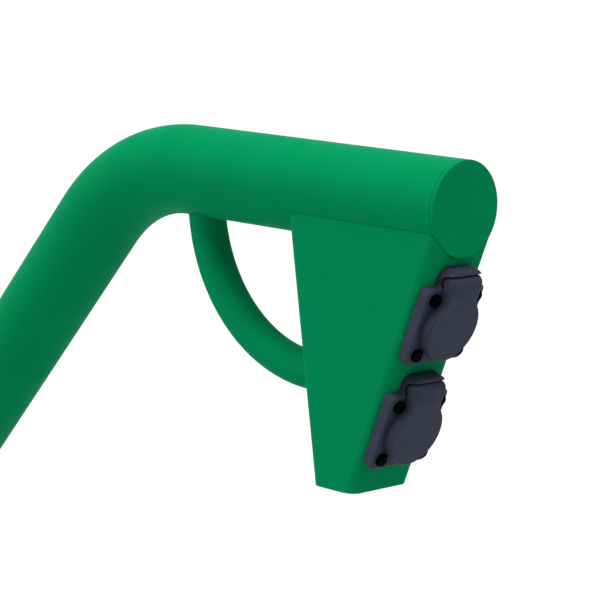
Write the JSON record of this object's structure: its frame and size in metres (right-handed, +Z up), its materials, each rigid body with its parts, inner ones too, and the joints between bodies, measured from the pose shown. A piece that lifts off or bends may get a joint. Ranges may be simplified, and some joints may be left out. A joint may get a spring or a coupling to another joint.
{
  "type": "e-bike charging stand arm",
  "caption": "Bent steel arm of an e-bike charging stand: a tapering box with sloping flap sockets under the tube and a lock loop behind it.",
  "frame": {"origin": "centre of the round, square-cut open lower end of the slanted leg, where the rest of the stand joins", "axes": "+X along the horizontal arm towards the end cap, +Z up, +Y to the right of someone who faces the sockets"},
  "size_m": [0.576, 0.0604, 0.347],
  "materials": {
    "green_paint": "green powder coat, satin, fine texture",
    "cover_plastic": "dark blue-grey moulded plastic, fine grain",
    "carrier_plastic": "grey moulded plastic, guessed",
    "black_steel": "black coated steel screw",
    "rubber": "black rubber, matt, guessed",
    "brass": "bare brass, guessed",
    "bright_steel": "bright steel, guessed"
  },
  "bodies": {
    "arm": {"arm_tube": "green_paint", "end_cap": "green_paint", "lock_loop": "green_paint", "socket_box": "green_paint", "box_floor": "green_paint", "cable_grommet": "rubber", "upper_housing": "cover_plastic", "upper_gasket": "rubber", "upper_insert": "carrier_plastic", "upper_contact_left": "brass", "upper_contact_right": "brass", "upper_earth_strip": "brass", "upper_flange_screw_1": "black_steel", "upper_flange_screw_2": "black_steel", "upper_flange_screw_3": "black_steel", "upper_flange_screw_4": "black_steel", "upper_hinge_pin": "bright_steel", "upper_lid_spring": "bright_steel", "lower_housing": "cover_plastic", "lower_gasket": "rubber", "lower_insert": "carrier_plastic", "lower_contact_left": "brass", "lower_contact_right": "brass", "lower_earth_strip": "brass", "lower_flange_screw_1": "black_steel", "lower_flange_screw_2": "black_steel", "lower_flange_screw_3": "black_steel", "lower_flange_screw_4": "black_steel", "lower_hinge_pin": "bright_steel", "lower_lid_spring": "bright_steel"},
    "upper_lid": {"upper_lid": "cover_plastic", "upper_lid_seal": "rubber"},
    "lower_lid": {"lower_lid": "cover_plastic", "lower_lid_seal": "rubber"}
  },
  "joints": [
    {"name": "upper_lid_hinge", "type": "hinge", "parent": "arm", "child": "upper_lid", "pos_m": [0.54712, 0, 0.25213], "axis": [0, -1, 0], "range_deg": [0, 110], "stiffness_Nm_per_rad": 0.01, "springref_deg": -85.94},
    {"name": "lower_lid_hinge", "type": "hinge", "parent": "arm", "child": "lower_lid", "pos_m": [0.52163, 0, 0.18213], "axis": [0, -1, 0], "range_deg": [0, 110], "stiffness_Nm_per_rad": 0.01, "springref_deg": -85.94}
  ]
}
